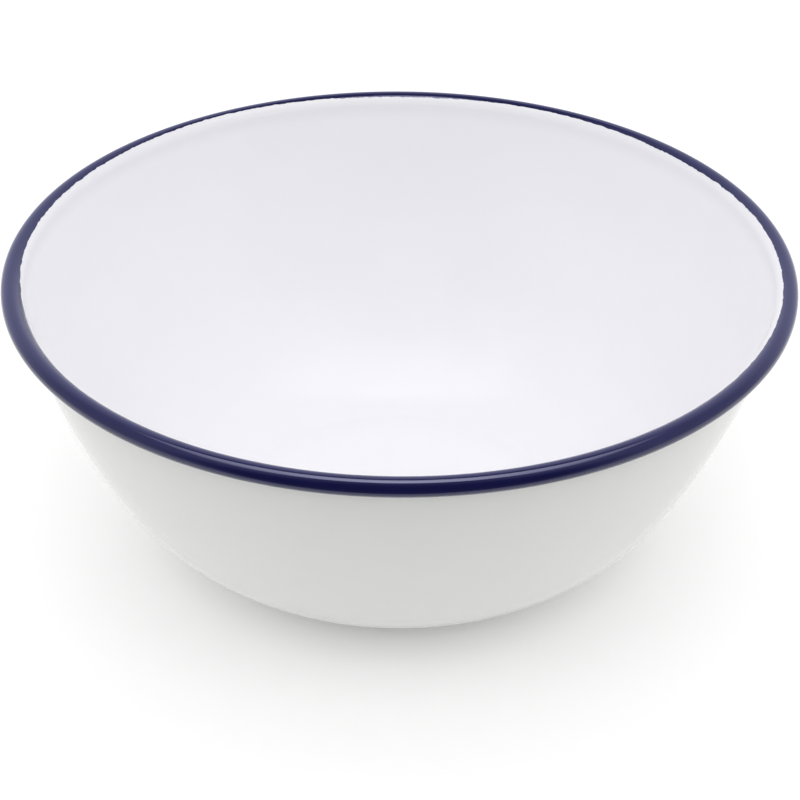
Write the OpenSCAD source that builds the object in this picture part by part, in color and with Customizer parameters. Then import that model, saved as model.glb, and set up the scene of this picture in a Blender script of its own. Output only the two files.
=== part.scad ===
// Enamelled steel basin bowl: one pressed steel bowl with a rolled rim, a dark ground coat fused to
// the steel, white cover coats on the food side and the outside, and a blue coat on the rim.
// The origin is the centre of the base, on the table, and +Z is up. Sizes are in millimetres.

/* [Bowl] */
// Outside diameter over the finished rim
rim_d = 240; // [180:1:320]
// Height from the table to the top of the rim
bowl_h = 95; // [60:1:140]
// Diameter of the flat part of the base
base_d = 107; // [60:1:140]
// Outside radius of the corner between the base and the wall
corner_r = 7; // [4:0.5:14]

/* [Wall curve] */
// Degrees by which the wall leaves the base flatter than a straight line from base edge to rim
base_turn = 33.6; // [26:0.1:36]
// Degrees past that line at which the round lower wall runs into the straighter upper wall
blend_turn = 6.8; // [0:0.1:12]
// Degrees by which the wall reaches the rim steeper than that line
rim_turn = 21.8; // [16:0.1:28]

/* [Rim] */
// Diameter of the finished rolled rim, across its round section
bead_d = 5.6; // [4.4:0.1:9]
// Degrees above level, on the food side of the rim, at which the blue coat begins
blue_from = 48; // [20:1:85]

/* [Sheet and enamel] */
// Thickness of the pressed steel sheet
sheet_t = 0.7; // [0.5:0.05:1.2]
// Thickness of the dark ground coat
ground_t = 0.12; // [0.1:0.01:0.2]
// Thickness of the white and blue cover coats
cover_t = 0.2; // [0.15:0.01:0.3]

/* [Hidden] */

// Straight pieces that stand for each round stretch of the section
corner_steps = 6;
belly_steps = 18;
upper_steps = 10;
inner_roll_steps = 6;
blue_roll_steps = 36;
// Sides of the turned shapes
turn_steps = 180;

// Every layer runs parallel to the sheet's food-side face: "lift" is the distance from that face
// towards the food, which on the rolled rim is away from the middle of the roll.
ground_lift = ground_t;
glaze_lift = ground_t + cover_t;
back_lift = -sheet_t;
back_ground_lift = back_lift - ground_t;
back_glaze_lift = back_ground_lift - cover_t;

// Rolled rim
bead_r = bead_d / 2;
bead_face_r = bead_r - glaze_lift;
bead_c = [rim_d / 2 - bead_r, bowl_h - bead_r];

// Base and its corner
base_r = base_d / 2;
face_z = -back_glaze_lift;
corner_face_r = corner_r - face_z;
corner_c = [base_r, face_z + corner_face_r];

// Slopes of the wall, in degrees from level, all set from the line that joins base edge and rim
line_slope = atan2(bead_c.y, bead_c.x - base_r);
base_slope = line_slope - base_turn;
blend_slope = line_slope + blend_turn;
rim_slope = line_slope + rim_turn;

// The wall is two arcs, tangent to each other, to the base corner and to the rolled rim.
// Their radii follow from the two ends that they have to join.
corner_end = corner_c + corner_face_r * heading(base_slope);
rim_start = bead_c - bead_face_r * heading(rim_slope);
wall_span = rim_start - corner_end;
belly_chord = heading(blend_slope) - heading(base_slope);
upper_chord = heading(rim_slope) - heading(blend_slope);
belly_r = cross(wall_span, upper_chord) / cross(belly_chord, upper_chord);
upper_r = cross(belly_chord, wall_span) / cross(belly_chord, upper_chord);
belly_c = corner_end - belly_r * heading(base_slope);
upper_c = belly_c + (belly_r - upper_r) * heading(blend_slope);

// The coats on the outside of the wall end below the rolled rim: the white one where it meets the
// finished rim, the ground coat in the slit between the rolled edge and the wall
back_glaze_end = slope_below_rim(back_glaze_lift, bead_r);
back_ground_end = slope_below_rim(back_ground_lift, bead_face_r);

// The blue coat begins on the food side of the rim. The roll ends where the blue coat on it
// touches the wall, so the coat closes the slit.
blue_start = 90 - blue_from;
roll_end = rim_slope - 360 + acos((bead_face_r + back_ground_lift) / bead_r);

// Slopes at which every layer has a point, so that neighbouring layers share their faces
corner_slopes = stations(0, base_slope, corner_steps);
belly_slopes = stations(base_slope, blend_slope, belly_steps);
upper_slopes = stations(blend_slope, back_glaze_end, upper_steps);
inner_roll_slopes = stations(rim_slope, blue_start, inner_roll_steps);
blue_roll_slopes = stations(blue_start, roll_end, blue_roll_steps);

// Direction from the centre of a wall arc to the point where the wall has this slope
function heading(slope) = [sin(slope), -cos(slope)];

// Slope of the upper wall, at this lift, where it meets a circle round the middle of the rolled rim
function slope_below_rim(lift, circle_r) =
    let (to_bead = upper_r + bead_face_r)
    let (to_layer = upper_r - lift)
    rim_slope - acos((to_bead ^ 2 + to_layer ^ 2 - circle_r ^ 2) / (2 * to_bead * to_layer));

// Even steps between two slopes, without the first
function stations(from, to, steps) = [for (i = [1 : steps]) from + (to - from) * i / steps];

// Points of an arc at the given slopes
function arc(centre, radius, slopes) = [for (slope = slopes) centre + radius * heading(slope)];

// Section line of the base and the wall at this lift, from the axis to the end of the outer white coat
function wall_line(lift) = concat(
    [[0, face_z + lift], [base_r, face_z + lift]],
    arc(corner_c, corner_face_r - lift, corner_slopes),
    arc(belly_c, belly_r - lift, belly_slopes),
    arc(upper_c, upper_r - lift, upper_slopes)
);

// The same line at this lift, carried on into the slit under the rim or up to the start of the roll
function line_into_slit(lift) = concat(wall_line(lift), arc(upper_c, upper_r - lift, [back_ground_end]));
function line_to_roll(lift) = concat(line_into_slit(lift), arc(upper_c, upper_r - lift, [rim_slope]));

// Section line of the rolled rim at this lift. It bends the other way, so its radius is negative.
function roll_line(lift, slopes) = arc(bead_c, -(bead_face_r + lift), slopes);

function backwards(points) = [for (i = [len(points) - 1 : -1 : 0]) points[i]];

// Layer between two section lines, turned about the axis
module turned_layer(low_line, high_line) {
    rotate_extrude($fn = turn_steps)
        polygon(concat(low_line, backwards(high_line)));
}

// Layer that covers the wall and goes on over the rolled rim at the given slopes
module wall_and_roll(low, high, slopes) {
    turned_layer(
        concat(line_to_roll(low), roll_line(low, slopes)),
        concat(line_to_roll(high), roll_line(high, slopes))
    );
}

// Pressed steel sheet, rolled outwards at the rim round a hollow
module steel_bowl() {
    color("dimgray") wall_and_roll(back_lift, 0, concat(inner_roll_slopes, blue_roll_slopes));
}

// Dark ground coat on the food side and over the rolled rim
module inner_ground_coat() {
    color("#26272e") wall_and_roll(0, ground_lift, concat(inner_roll_slopes, blue_roll_slopes));
}

// Dark ground coat on the outside of the wall and under the base
module outer_ground_coat() {
    color("#26272e") turned_layer(line_into_slit(back_ground_lift), line_into_slit(back_lift));
}

// White cover coat on the food side, up to the blue coat on the rim
module inner_white_enamel() {
    color("#f3f3f6") wall_and_roll(ground_lift, glaze_lift, inner_roll_slopes);
}

// White cover coat on the outside of the wall and under the base
module outer_white_enamel() {
    color("#eeeeec") turned_layer(wall_line(back_glaze_lift), wall_line(back_ground_lift));
}

// Blue cover coat round the rolled rim, down to the wall under it
module blue_rim_enamel() {
    blue_slopes = concat([blue_start], blue_roll_slopes);
    color("#22215a") turned_layer(roll_line(ground_lift, blue_slopes), roll_line(glaze_lift, blue_slopes));
}

steel_bowl();
inner_ground_coat();
outer_ground_coat();
inner_white_enamel();
outer_white_enamel();
blue_rim_enamel();
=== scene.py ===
import math

import bmesh
import bpy
from mathutils import Matrix, Vector, noise


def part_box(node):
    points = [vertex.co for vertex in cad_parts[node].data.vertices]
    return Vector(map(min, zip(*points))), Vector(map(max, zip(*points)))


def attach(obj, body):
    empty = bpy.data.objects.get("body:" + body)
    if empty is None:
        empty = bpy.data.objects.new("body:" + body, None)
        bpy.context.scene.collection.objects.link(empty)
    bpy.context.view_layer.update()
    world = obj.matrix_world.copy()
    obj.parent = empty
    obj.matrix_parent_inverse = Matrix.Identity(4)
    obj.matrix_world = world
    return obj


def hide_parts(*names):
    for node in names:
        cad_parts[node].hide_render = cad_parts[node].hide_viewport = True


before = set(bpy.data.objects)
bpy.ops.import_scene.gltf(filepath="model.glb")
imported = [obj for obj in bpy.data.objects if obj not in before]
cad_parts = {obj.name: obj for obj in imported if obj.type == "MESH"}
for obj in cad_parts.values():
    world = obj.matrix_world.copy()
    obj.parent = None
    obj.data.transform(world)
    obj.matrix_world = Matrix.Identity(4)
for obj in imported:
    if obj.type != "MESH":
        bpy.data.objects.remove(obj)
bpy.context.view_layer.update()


# Pressed steel bowl: one disc of thin drawing steel, pressed to shape and rolled outwards at the
# edge to a hollow round rim. The enamel hides all of it, so it keeps the CAD shape.

class Shade:
    """A socket in a finish's node tree: arithmetic on it adds Math nodes, node() adds any other."""

    def __init__(self, tree, socket=None):
        self.tree = tree
        self.socket = socket

    def node(self, kind, settings=None, sockets=None, output=0):
        """Adds a node, sets its settings first, then its sockets, and gives back one output."""
        made = self.tree.nodes.new(kind)
        for name, value in (settings or {}).items():
            setattr(made, name, value)
        for name, value in (sockets or {}).items():
            if isinstance(value, Shade):
                self.tree.links.new(value.socket, made.inputs[name])
            else:
                made.inputs[name].default_value = value
        return Shade(self.tree, made.outputs[output] if made.outputs else None)

    def math(self, operation, first, second):
        return self.node("ShaderNodeMath", {"operation": operation}, {0: first, 1: second})

    def between(self, low, high):
        """This value run from 0 at low to 1 at high, smoothly."""
        settings = {"interpolation_type": "SMOOTHSTEP"}
        return self.node("ShaderNodeMapRange", settings, {"Value": self, "From Min": low, "From Max": high})

    def colours(self, first, second):
        """A colour that runs from the first to the second as this value goes from 0 to 1."""
        mix = {0: self, 6: (*first, 1), 7: (*second, 1)}
        return self.node("ShaderNodeMix", {"data_type": "RGBA"}, mix, output=2)

    def __add__(self, other):
        return self.math("ADD", self, other)

    def __mul__(self, other):
        return self.math("MULTIPLY", self, other)

    def __sub__(self, other):
        return self.math("SUBTRACT", self, other)

    def __rsub__(self, other):
        return self.math("SUBTRACT", other, self)

    __radd__ = __add__
    __rmul__ = __mul__


def new_finish(name):
    """An empty material, and the start of its node tree."""
    finish = bpy.data.materials.new(name)
    finish.use_nodes = True
    finish.node_tree.nodes.clear()
    return finish, Shade(finish.node_tree)


def put_on(nodes, surface):
    """Ends a finish: the surface is what the renderer shows."""
    nodes.node("ShaderNodeOutputMaterial", None, {"Surface": surface})


def mottle(nodes, size, detail):
    """Cloudy variation from 0 to 1, with clouds of about this size in metres."""
    place = nodes.node("ShaderNodeTexCoord", output="Object")
    return nodes.node("ShaderNodeTexNoise", None, {"Vector": place, "Scale": 1 / size, "Detail": detail})


def steel_finish():
    finish, nodes = new_finish("drawn_steel")
    grain = mottle(nodes, 0.0015, 4)
    surface = nodes.node("ShaderNodeBsdfPrincipled", None, {
        "Base Color": grain.colours((0.34, 0.34, 0.36), (0.5, 0.5, 0.52)),
        "Metallic": 1.0,
        "Roughness": 0.35 + 0.2 * grain,
    })
    put_on(nodes, surface)
    return finish


def refinish(node, finish):
    """Gives a CAD node a finish in place of its packed one."""
    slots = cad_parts[node].data.materials
    slots.clear()
    slots.append(finish)


refinish("steel_bowl", steel_finish())


# Ground coat: dark cobalt-bearing enamel, dipped over the whole pressing and fired first, so that
# the cover coats hold. It is hidden too, and keeps the CAD shape on both sides of the sheet.

def ground_finish():
    finish, nodes = new_finish("ground_enamel")
    cloud = mottle(nodes, 0.004, 3)
    surface = nodes.node("ShaderNodeBsdfPrincipled", None, {
        "Base Color": cloud.colours((0.012, 0.013, 0.018), (0.03, 0.031, 0.038)),
        "Roughness": 0.2 + 0.15 * cloud,
    })
    put_on(nodes, surface)
    return finish


ground = ground_finish()
refinish("inner_ground_coat", ground)
refinish("outer_ground_coat", ground)


# White cover coat on the food side: enamel slip poured in, drained and fired to a glossy glass.
# It runs from the floor up the wall and over the inner side of the rolled rim, under the blue.

# round at the base, and how far the wall's slope lies from the line between base and rim: less at the
# base, more where its two arcs meet and at the rim
corner_r = 0.007
base_turn = math.radians(33.6)
blend_turn = math.radians(6.8)
rim_turn = math.radians(21.8)


def reach(node, top):
    """Largest distance from the axis of a CAD node's points, up to a height."""
    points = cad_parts[node].data.vertices
    return max(point.co.xy.length for point in points if point.co.z <= top)


def heading(slope):
    """From the centre of a wall arc towards the point where the wall has this slope, as (x, z)."""
    return Vector((math.sin(slope), -math.cos(slope)))


# thickness of the layers, from how their lowest faces lie
cover_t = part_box("outer_ground_coat")[0].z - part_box("outer_white_enamel")[0].z
ground_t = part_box("steel_bowl")[0].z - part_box("outer_ground_coat")[0].z
face_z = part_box("inner_ground_coat")[0].z
sheet_t = face_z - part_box("steel_bowl")[0].z
glaze_lift = ground_t + cover_t

# rolled rim and base, as the solids have them
rim_low, rim_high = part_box("blue_rim_enamel")
bead_r = (rim_high.z - rim_low.z) / 2
bead_face_r = bead_r - glaze_lift
rim_r = min(-rim_low.x, -rim_low.y, rim_high.x, rim_high.y)
bead_c = Vector((rim_r - bead_r, rim_high.z - bead_r))
base_r = reach("outer_white_enamel", top=cover_t / 100)
corner_c = Vector((base_r, corner_r))

# slopes and arcs of the wall: two arcs tangent to the base corner and to the rolled rim
line_slope = math.atan2(bead_c.y, bead_c.x - base_r)
base_slope = line_slope - base_turn
blend_slope = line_slope + blend_turn
rim_slope = line_slope + rim_turn
corner_face_r = corner_r - face_z
corner_end = corner_c + corner_face_r * heading(base_slope)
wall_span = bead_c - bead_face_r * heading(rim_slope) - corner_end
belly_chord = heading(blend_slope) - heading(base_slope)
upper_chord = heading(rim_slope) - heading(blend_slope)
belly_r = wall_span.cross(upper_chord) / belly_chord.cross(upper_chord)
upper_r = belly_chord.cross(wall_span) / belly_chord.cross(upper_chord)
belly_c = corner_end - belly_r * heading(base_slope)
upper_c = belly_c + (belly_r - upper_r) * heading(blend_slope)


class Outline:
    """A coat's section, drawn beside the axis as one line of edges, then turned to a closed coat."""

    def __init__(self, x, z):
        self.bm = bmesh.new()
        self.end = self.bm.verts.new((x, 0, z))

    def line(self, x, z, steps=1):
        """Goes straight to a point."""
        start = self.end.co.copy()
        for step in range(1, steps + 1):
            made = bmesh.ops.extrude_vert_indiv(self.bm, verts=[self.end])
            self.end = made["verts"][0]
            self.end.co = start.lerp((x, 0, z), step / steps)

    def arc(self, centre, turn, steps):
        """Goes round a centre, to the left where the turn is positive."""
        made = bmesh.ops.spin(
            self.bm, geom=[self.end], cent=(centre.x, 0, centre.y), axis=(0, -1, 0), angle=turn, steps=steps
        )
        self.end = next(part for part in made["geom_last"] if isinstance(part, bmesh.types.BMVert))

    def turned(self, sectors, steps):
        """Turns the section about the axis, first one sector, then its copies, and joins them."""
        bm = self.bm
        sector = math.tau / sectors
        section = bm.verts[:] + bm.edges[:]
        bmesh.ops.spin(bm, geom=section, cent=(0, 0, 0), axis=(0, 0, 1), angle=sector, steps=steps)
        wedge = bm.verts[:] + bm.edges[:] + bm.faces[:]
        bmesh.ops.spin(
            bm, geom=wedge, cent=(0, 0, 0), axis=(0, 0, 1), angle=math.tau - sector, steps=sectors - 1,
            use_duplicate=True
        )
        bmesh.ops.remove_doubles(bm, verts=bm.verts[:], dist=1e-6)
        bmesh.ops.recalc_face_normals(bm, faces=bm.faces[:])
        return bm


def draw_wall(outline, way, fine, end_slope=rim_slope):
    """Draws base corner and wall, out from the base edge (way 1) or back to it (way -1), in fine steps."""
    bends = [
        (corner_c, base_slope, 2 * fine),
        (belly_c, blend_slope - base_slope, 6 * fine),
        (upper_c, end_slope - blend_slope, 4 * fine),
    ]
    for centre, turn, steps in bends[::way]:
        outline.arc(centre, way * turn, steps)


def waver(bm, amount, size):
    """Gives a fired coat its faint unevenness, by this much at most and about this size."""
    bm.normal_update()
    for point in bm.verts:
        point.co += point.normal * (amount * noise.noise(point.co / size))


def new_piece(bm, name, finish, crease=math.radians(35)):
    """Makes the finished mesh an object at the origin, smooth except at its sharp edges."""
    mesh = bpy.data.meshes.new(name)
    bm.to_mesh(mesh)
    bm.free()
    mesh.shade_smooth()
    mesh.set_sharp_from_angle(angle=crease)
    mesh.materials.append(finish)
    piece = bpy.data.objects.new(name, mesh)
    bpy.context.scene.collection.objects.link(piece)
    return piece


# painted shade: the white is painted darker between these depths below the middle of the roll
rim_shade_start = 0.0055
rim_shade_end = 0.0005


def white_finish(name, colour, cloud_and_shade_colour, unevenness, gloss):
    """Glossy white enamel: faint clouds, painted shade that darkens it towards the rim, and a glaze with a
    ripple.
    """
    finish, nodes = new_finish(name)
    cloud = mottle(nodes, 0.03, 2)
    place = nodes.node("ShaderNodeTexCoord", output="Object")
    height = nodes.node("ShaderNodeSeparateXYZ", None, {"Vector": place}, output="Z")
    # painted shade: the colour runs to the darker one towards the rim, on top of the faint clouds
    clear_of_rim_shade = 1 - height.between(bead_c.y - rim_shade_start, bead_c.y - rim_shade_end)
    cloud_and_rim_shade = clear_of_rim_shade * (0.8 + 0.2 * cloud.between(0.25, 0.75))
    ripple = {"Strength": unevenness, "Distance": 0.0001, "Height": mottle(nodes, 0.006, 2)}
    surface = nodes.node("ShaderNodeBsdfPrincipled", None, {
        "Base Color": cloud_and_rim_shade.colours(cloud_and_shade_colour, colour),
        "Roughness": 0.07 + 0.06 * cloud,
        "Specular IOR Level": gloss,
        "Normal": nodes.node("ShaderNodeBump", None, ripple),
    })
    put_on(nodes, surface)
    return finish


# the wall does not meet the roll in a corner: the enamel fills it to a wider round, and on the roll
# it lies a little lower than the blue
flare_r = 0.0048
flare_slope = math.radians(25)
white_roll_r = bead_r - 0.00006
flare_c = bead_c + (flare_r - white_roll_r) * heading(flare_slope)
flare_start = flare_c - flare_r * heading(rim_slope)
flare_from = math.acos((upper_c.y - flare_start.y) / (upper_r - glaze_lift))
swell = upper_c.x + (upper_r - glaze_lift) * math.sin(flare_from) - flare_start.x
swell_z = 0.6 * bead_c.y

# angles above level on the food side of the roll, between which the white runs out under the blue
feather_from = math.radians(68)
feather_to = math.radians(80)

inner = Outline(0, face_z + glaze_lift)
inner.line(base_r, face_z + glaze_lift, steps=10)
draw_wall(inner, 1, fine=5, end_slope=flare_from)
for point in inner.bm.verts:
    rise = max(0.0, (point.co.z - swell_z) / (flare_start.y - swell_z))
    point.co.x -= swell * rise * rise * (3 - 2 * rise)
inner.arc(flare_c, flare_slope - rim_slope, 14)
inner.arc(bead_c, math.pi / 2 - feather_from - flare_slope, 2)
feather = bead_c + (bead_face_r + ground_t * 1.1) * Vector((-math.cos(feather_to), math.sin(feather_to)))
inner.line(*feather)
under = bead_c + (bead_face_r + ground_t) * Vector((-math.cos(feather_to), math.sin(feather_to)))
inner.line(*under)
inner.arc(bead_c, rim_slope - math.pi / 2 + feather_to, 6)
draw_wall(inner, -1, fine=2)
inner.line(0, face_z + ground_t)
inner_bm = inner.turned(24, 20)
waver(inner_bm, amount=0.00003, size=0.035)
inner_white = new_piece(inner_bm, "inner_white_coat", white_finish(
    "white_enamel_inside", (0.852, 0.848, 0.877), (0.8, 0.797, 0.828), unevenness=0.12, gloss=0.09
))
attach(inner_white, "root")
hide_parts("inner_white_enamel")


# White cover coat on the outside: the same enamel, sprayed on the wall and under the base. It ends
# below the rolled rim, where it meets the blue.

def slope_below_rim(lift, circle_r):
    """Slope of the upper wall, at this lift, where it meets a circle round the middle of the roll."""
    to_bead = upper_r + bead_face_r
    to_layer = upper_r - lift
    cosine = (to_bead ** 2 + to_layer ** 2 - circle_r ** 2) / (2 * to_bead * to_layer)
    return rim_slope - math.acos(cosine)


outer_end = slope_below_rim(-sheet_t - glaze_lift, bead_r)
outer = Outline(0, 0)
outer.line(base_r, 0, steps=10)
draw_wall(outer, 1, fine=5, end_slope=outer_end)
outer.line(*(upper_c + (upper_r + sheet_t + ground_t) * heading(outer_end)))
draw_wall(outer, -1, fine=2, end_slope=outer_end)
outer.line(0, cover_t)
outer_bm = outer.turned(24, 24)
outer_white = new_piece(outer_bm, "outer_white_coat", white_finish(
    "white_enamel_outside", (0.85, 0.855, 0.838), (0.825, 0.83, 0.813), unevenness=0.02, gloss=0.02
))
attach(outer_white, "root")
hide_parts("outer_white_enamel")


# Blue coat on the rim: navy enamel laid round the rolled rim by hand, over the white on the food
# side, where its edge is a little ragged, and down to the wall under the roll.

# the blue starts at this angle above level on the food side, on average, and goes over the roll to the
# slope at which its underside meets the wall; its edge draws it along as far as edge_pull
blue_from = math.radians(46)
roll_end = rim_slope - math.tau + math.acos((bead_face_r - sheet_t - ground_t) / bead_r)
edge_pull = math.radians(60)


def blue_finish():
    finish, nodes = new_finish("blue_enamel")
    cloud = mottle(nodes, 0.008, 3)
    surface = nodes.node("ShaderNodeBsdfPrincipled", None, {
        "Base Color": cloud.colours((0.006, 0.006, 0.044), (0.008, 0.008, 0.058)),
        "Roughness": 0.05 + 0.06 * cloud,
        "Specular IOR Level": 0.65,
        "Specular Tint": (0.74, 0.75, 1, 1),
    })
    put_on(nodes, surface)
    return finish


def on_roll(angle, radius):
    """Point at this angle above level on the food side of the roll, at this distance from its middle."""
    return bead_c + radius * Vector((-math.cos(angle), math.sin(angle)))


def white_r(angle):
    """Distance of the white coat's face from the middle of the roll, at this angle above level."""
    if angle > math.pi / 2 - flare_slope:
        return white_roll_r
    to_flare = flare_c - bead_c
    ahead = to_flare.dot((-math.cos(angle), math.sin(angle)))
    return ahead + math.sqrt(ahead ** 2 - to_flare.length_squared + flare_r ** 2)


def stray(around):
    """Angle by which the edge of the blue strays at this place: slow waves, two runs, a gap and notches."""
    # waves: how many go round, where one crests, how high; runs: middle, half width and depth; all in degrees
    waves = [(2, 104, 8.1), (3, 9, 3.8), (5, 65, 3.7), (7, 12, 3.7)]
    runs = [(-160, 22, -30), (78, 32, -3.5), (-16, 18, 9)]
    angle = sum(size * math.cos(count * (around - math.radians(crest))) for count, crest, size in waves)
    for middle, width, size in runs:
        apart = math.remainder(around - math.radians(middle), math.tau) / math.radians(width)
        angle += size * max(0.0, 1 - apart * apart) ** 2
    spot = Vector((math.cos(around), math.sin(around), 0))
    return math.radians(angle + 5 * noise.noise(spot * 30) + 4 * noise.noise(spot * 90))


blue = Outline(*on_roll(blue_from, bead_r))
blue.arc(bead_c, roll_end - math.pi / 2 + blue_from, 48)
roll_stop = math.pi / 2 - roll_end
blue.line(*on_roll(roll_stop, bead_face_r + ground_t))
blue.arc(bead_c, roll_stop - feather_to, 10)
blue.line(*on_roll(feather_from, white_roll_r))
blue.arc(bead_c, feather_from - blue_from, 6)
blue.line(*on_roll(blue_from, bead_r))
blue_bm = blue.turned(40, 40)
for point in blue_bm.verts:
    around = math.atan2(point.co.y, point.co.x)
    out = point.co.xy.length
    from_middle = Vector((out - bead_c.x, point.co.z - bead_c.y))
    above = math.atan2(from_middle.y, -from_middle.x)
    near_edge = max(0.0, 1 - abs(above - blue_from) / edge_pull)
    if near_edge and above > 0:
        moved = above + near_edge ** 2 * stray(around)
        place = on_roll(moved, from_middle.length + white_r(moved) - white_roll_r)
        point.co = (place.x * math.cos(around), place.x * math.sin(around), place.y)
blue_rim = new_piece(blue_bm, "blue_rim_coat", blue_finish())
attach(blue_rim, "root")
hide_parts("blue_rim_enamel")


# Studio: a pale table that runs into a white background. A wide soft box over the bowl is what it
# mirrors. A fill, a front and two side lamps light it, with a little light from the table, in a room
# that is darker in front.

softbox_level = 1.1
fill_level = 1.56
front_level = 1.58
side_level = 0.6
table_level = 0.056
floor_glow = 0.15
table_half = 0.4
table_front = -0.2
table_top = -0.00005
side_reach = 1.6
side_lean = math.radians(65)
room_top = 1.14
room_back = 1.5
room_side = 0.86
room_front = 0.43
mirror_top = 0.35
mirror_back = 1.3
mirror_side = 0.85
mirror_front = 0.05


def floor_finish():
    finish, nodes = new_finish("studio_floor")
    cloud = mottle(nodes, 0.4, 1)
    seen = nodes.node("ShaderNodeLightPath", output="Is Camera Ray")
    seen += nodes.node("ShaderNodeLightPath", output="Is Glossy Ray")
    seen += nodes.node("ShaderNodeLightPath", output="Is Transmission Ray")
    pale = cloud.colours((0.84, 0.84, 0.84), (0.85, 0.85, 0.85))
    paint = nodes.node("ShaderNodeBsdfDiffuse", None, {"Color": pale})
    glow = nodes.node("ShaderNodeEmission", None, {"Color": (1, 1, 1, 1), "Strength": floor_glow * seen})
    put_on(nodes, nodes.node("ShaderNodeAddShader", None, {0: paint, 1: glow}))
    return finish


floor_bm = bmesh.new()
bmesh.ops.create_grid(floor_bm, x_segments=1, y_segments=1, size=table_half)
bmesh.ops.translate(floor_bm, verts=floor_bm.verts[:], vec=(0, table_half + table_front, table_top))
floor = new_piece(floor_bm, "studio_floor", floor_finish())


def soft_lamp(name, width, depth, level, place, tilt, spread=180):
    """A flat lamp of this brightness, facing down before it is tilted."""
    lamp = bpy.data.lights.new(name, "AREA")
    lamp.shape = "RECTANGLE"
    lamp.size = width
    lamp.size_y = depth
    lamp.energy = level * math.pi * width * depth
    lamp.spread = math.radians(spread)
    stand = bpy.data.objects.new(name, lamp)
    stand.location = place
    stand.rotation_euler = (math.radians(tilt), 0, 0)
    stand.visible_camera = False
    bpy.context.scene.collection.objects.link(stand)
    return stand


softbox = soft_lamp("softbox", 1.1, 0.425, softbox_level, (0, -0.0975, 0.75), 0, spread=80)
softbox.visible_diffuse = False
fill = soft_lamp("fill", 1.6, 0.7, fill_level, (0, -0.95, 2.1), 25)
fill.visible_glossy = False
front = soft_lamp("front", 1.6, 0.8, front_level, (0, -1.7, 1.5), 48)
front.visible_glossy = False
for x in (-side_reach, side_reach):
    side = soft_lamp("side", 0.8, 1.2, side_level, (x, 0, 0.75), 0)
    side.rotation_euler = (0, math.copysign(side_lean, x), 0)
    side.visible_glossy = False
soft_lamp("table_light", 2 * table_half, 2 * table_half, table_level, (0, 0, 0.0002), 180)

world = bpy.data.worlds.new("studio")
world.use_nodes = True
world.node_tree.nodes.clear()
sky = Shade(world.node_tree)
direction = sky.node("ShaderNodeTexCoord", output="Generated")
along = sky.node("ShaderNodeSeparateXYZ", None, {"Vector": direction}, output="Y")
above = sky.node("ShaderNodeSeparateXYZ", None, {"Vector": direction}, output="Z")
across = sky.node("ShaderNodeSeparateXYZ", None, {"Vector": direction}, output="X")
across = across.math("ABSOLUTE", across, 0)


def room_light(top, back, side, front, behind, overhead):
    """Brightness of the room by direction, smoothly from one side to the next."""
    low = side + (front - side) * (0 - along).between(0.3, 0.8) + (back - side) * behind
    return low + (top - low) * overhead


behind = along.between(0.55, 0.9)
overhead = above.between(0.72, 0.82)
room = room_light(room_top, room_back, room_side, room_front, behind, overhead)

# what the enamel mirrors is the same room, with a darker ceiling in the middle
mirror_behind = along.between(0.2, 0.7)
ceiling = above.between(0.77, 0.86) * (1 - across.between(0.25, 0.45))
mirrored = room_light(mirror_top, mirror_back, mirror_side, mirror_front, mirror_behind, ceiling)
seen = sky.node("ShaderNodeLightPath", output="Is Camera Ray")
glossy = sky.node("ShaderNodeLightPath", output="Is Glossy Ray")
strength = room + seen * (1 - room) + glossy * (mirrored - room)
tint = glossy.colours((1, 1, 1), (0.77, 0.78, 1))
shown = sky.node("ShaderNodeBackground", None, {"Color": tint, "Strength": strength})
sky.node("ShaderNodeOutputWorld", None, {"Surface": shown})
bpy.context.scene.world = world
bpy.context.scene.view_settings.view_transform = "Standard"


# Camera: above the table and in front of the bowl, where the picture was taken from.

view_distance = 5.775 * bead_c.x
view_height = math.radians(29.425)
view_pitch = math.radians(32.904)
view_roll = math.radians(0.333)
picture_px = 800
focal_px = 2221.3
shift_px = 1.1
camera = bpy.data.cameras.new("camera")
camera.sensor_width = 36
camera.lens = camera.sensor_width * focal_px / picture_px
camera.shift_x = shift_px / picture_px
tripod = bpy.data.objects.new("camera", camera)
tripod.location = (
    0, -view_distance * math.cos(view_height), bead_c.y + view_distance * math.sin(view_height)
)
tripod.rotation_euler = (
    Matrix.Rotation(math.pi / 2 - view_pitch, 3, "X") @ Matrix.Rotation(view_roll, 3, "Z")
).to_euler()
bpy.context.scene.collection.objects.link(tripod)
bpy.context.scene.camera = tripod
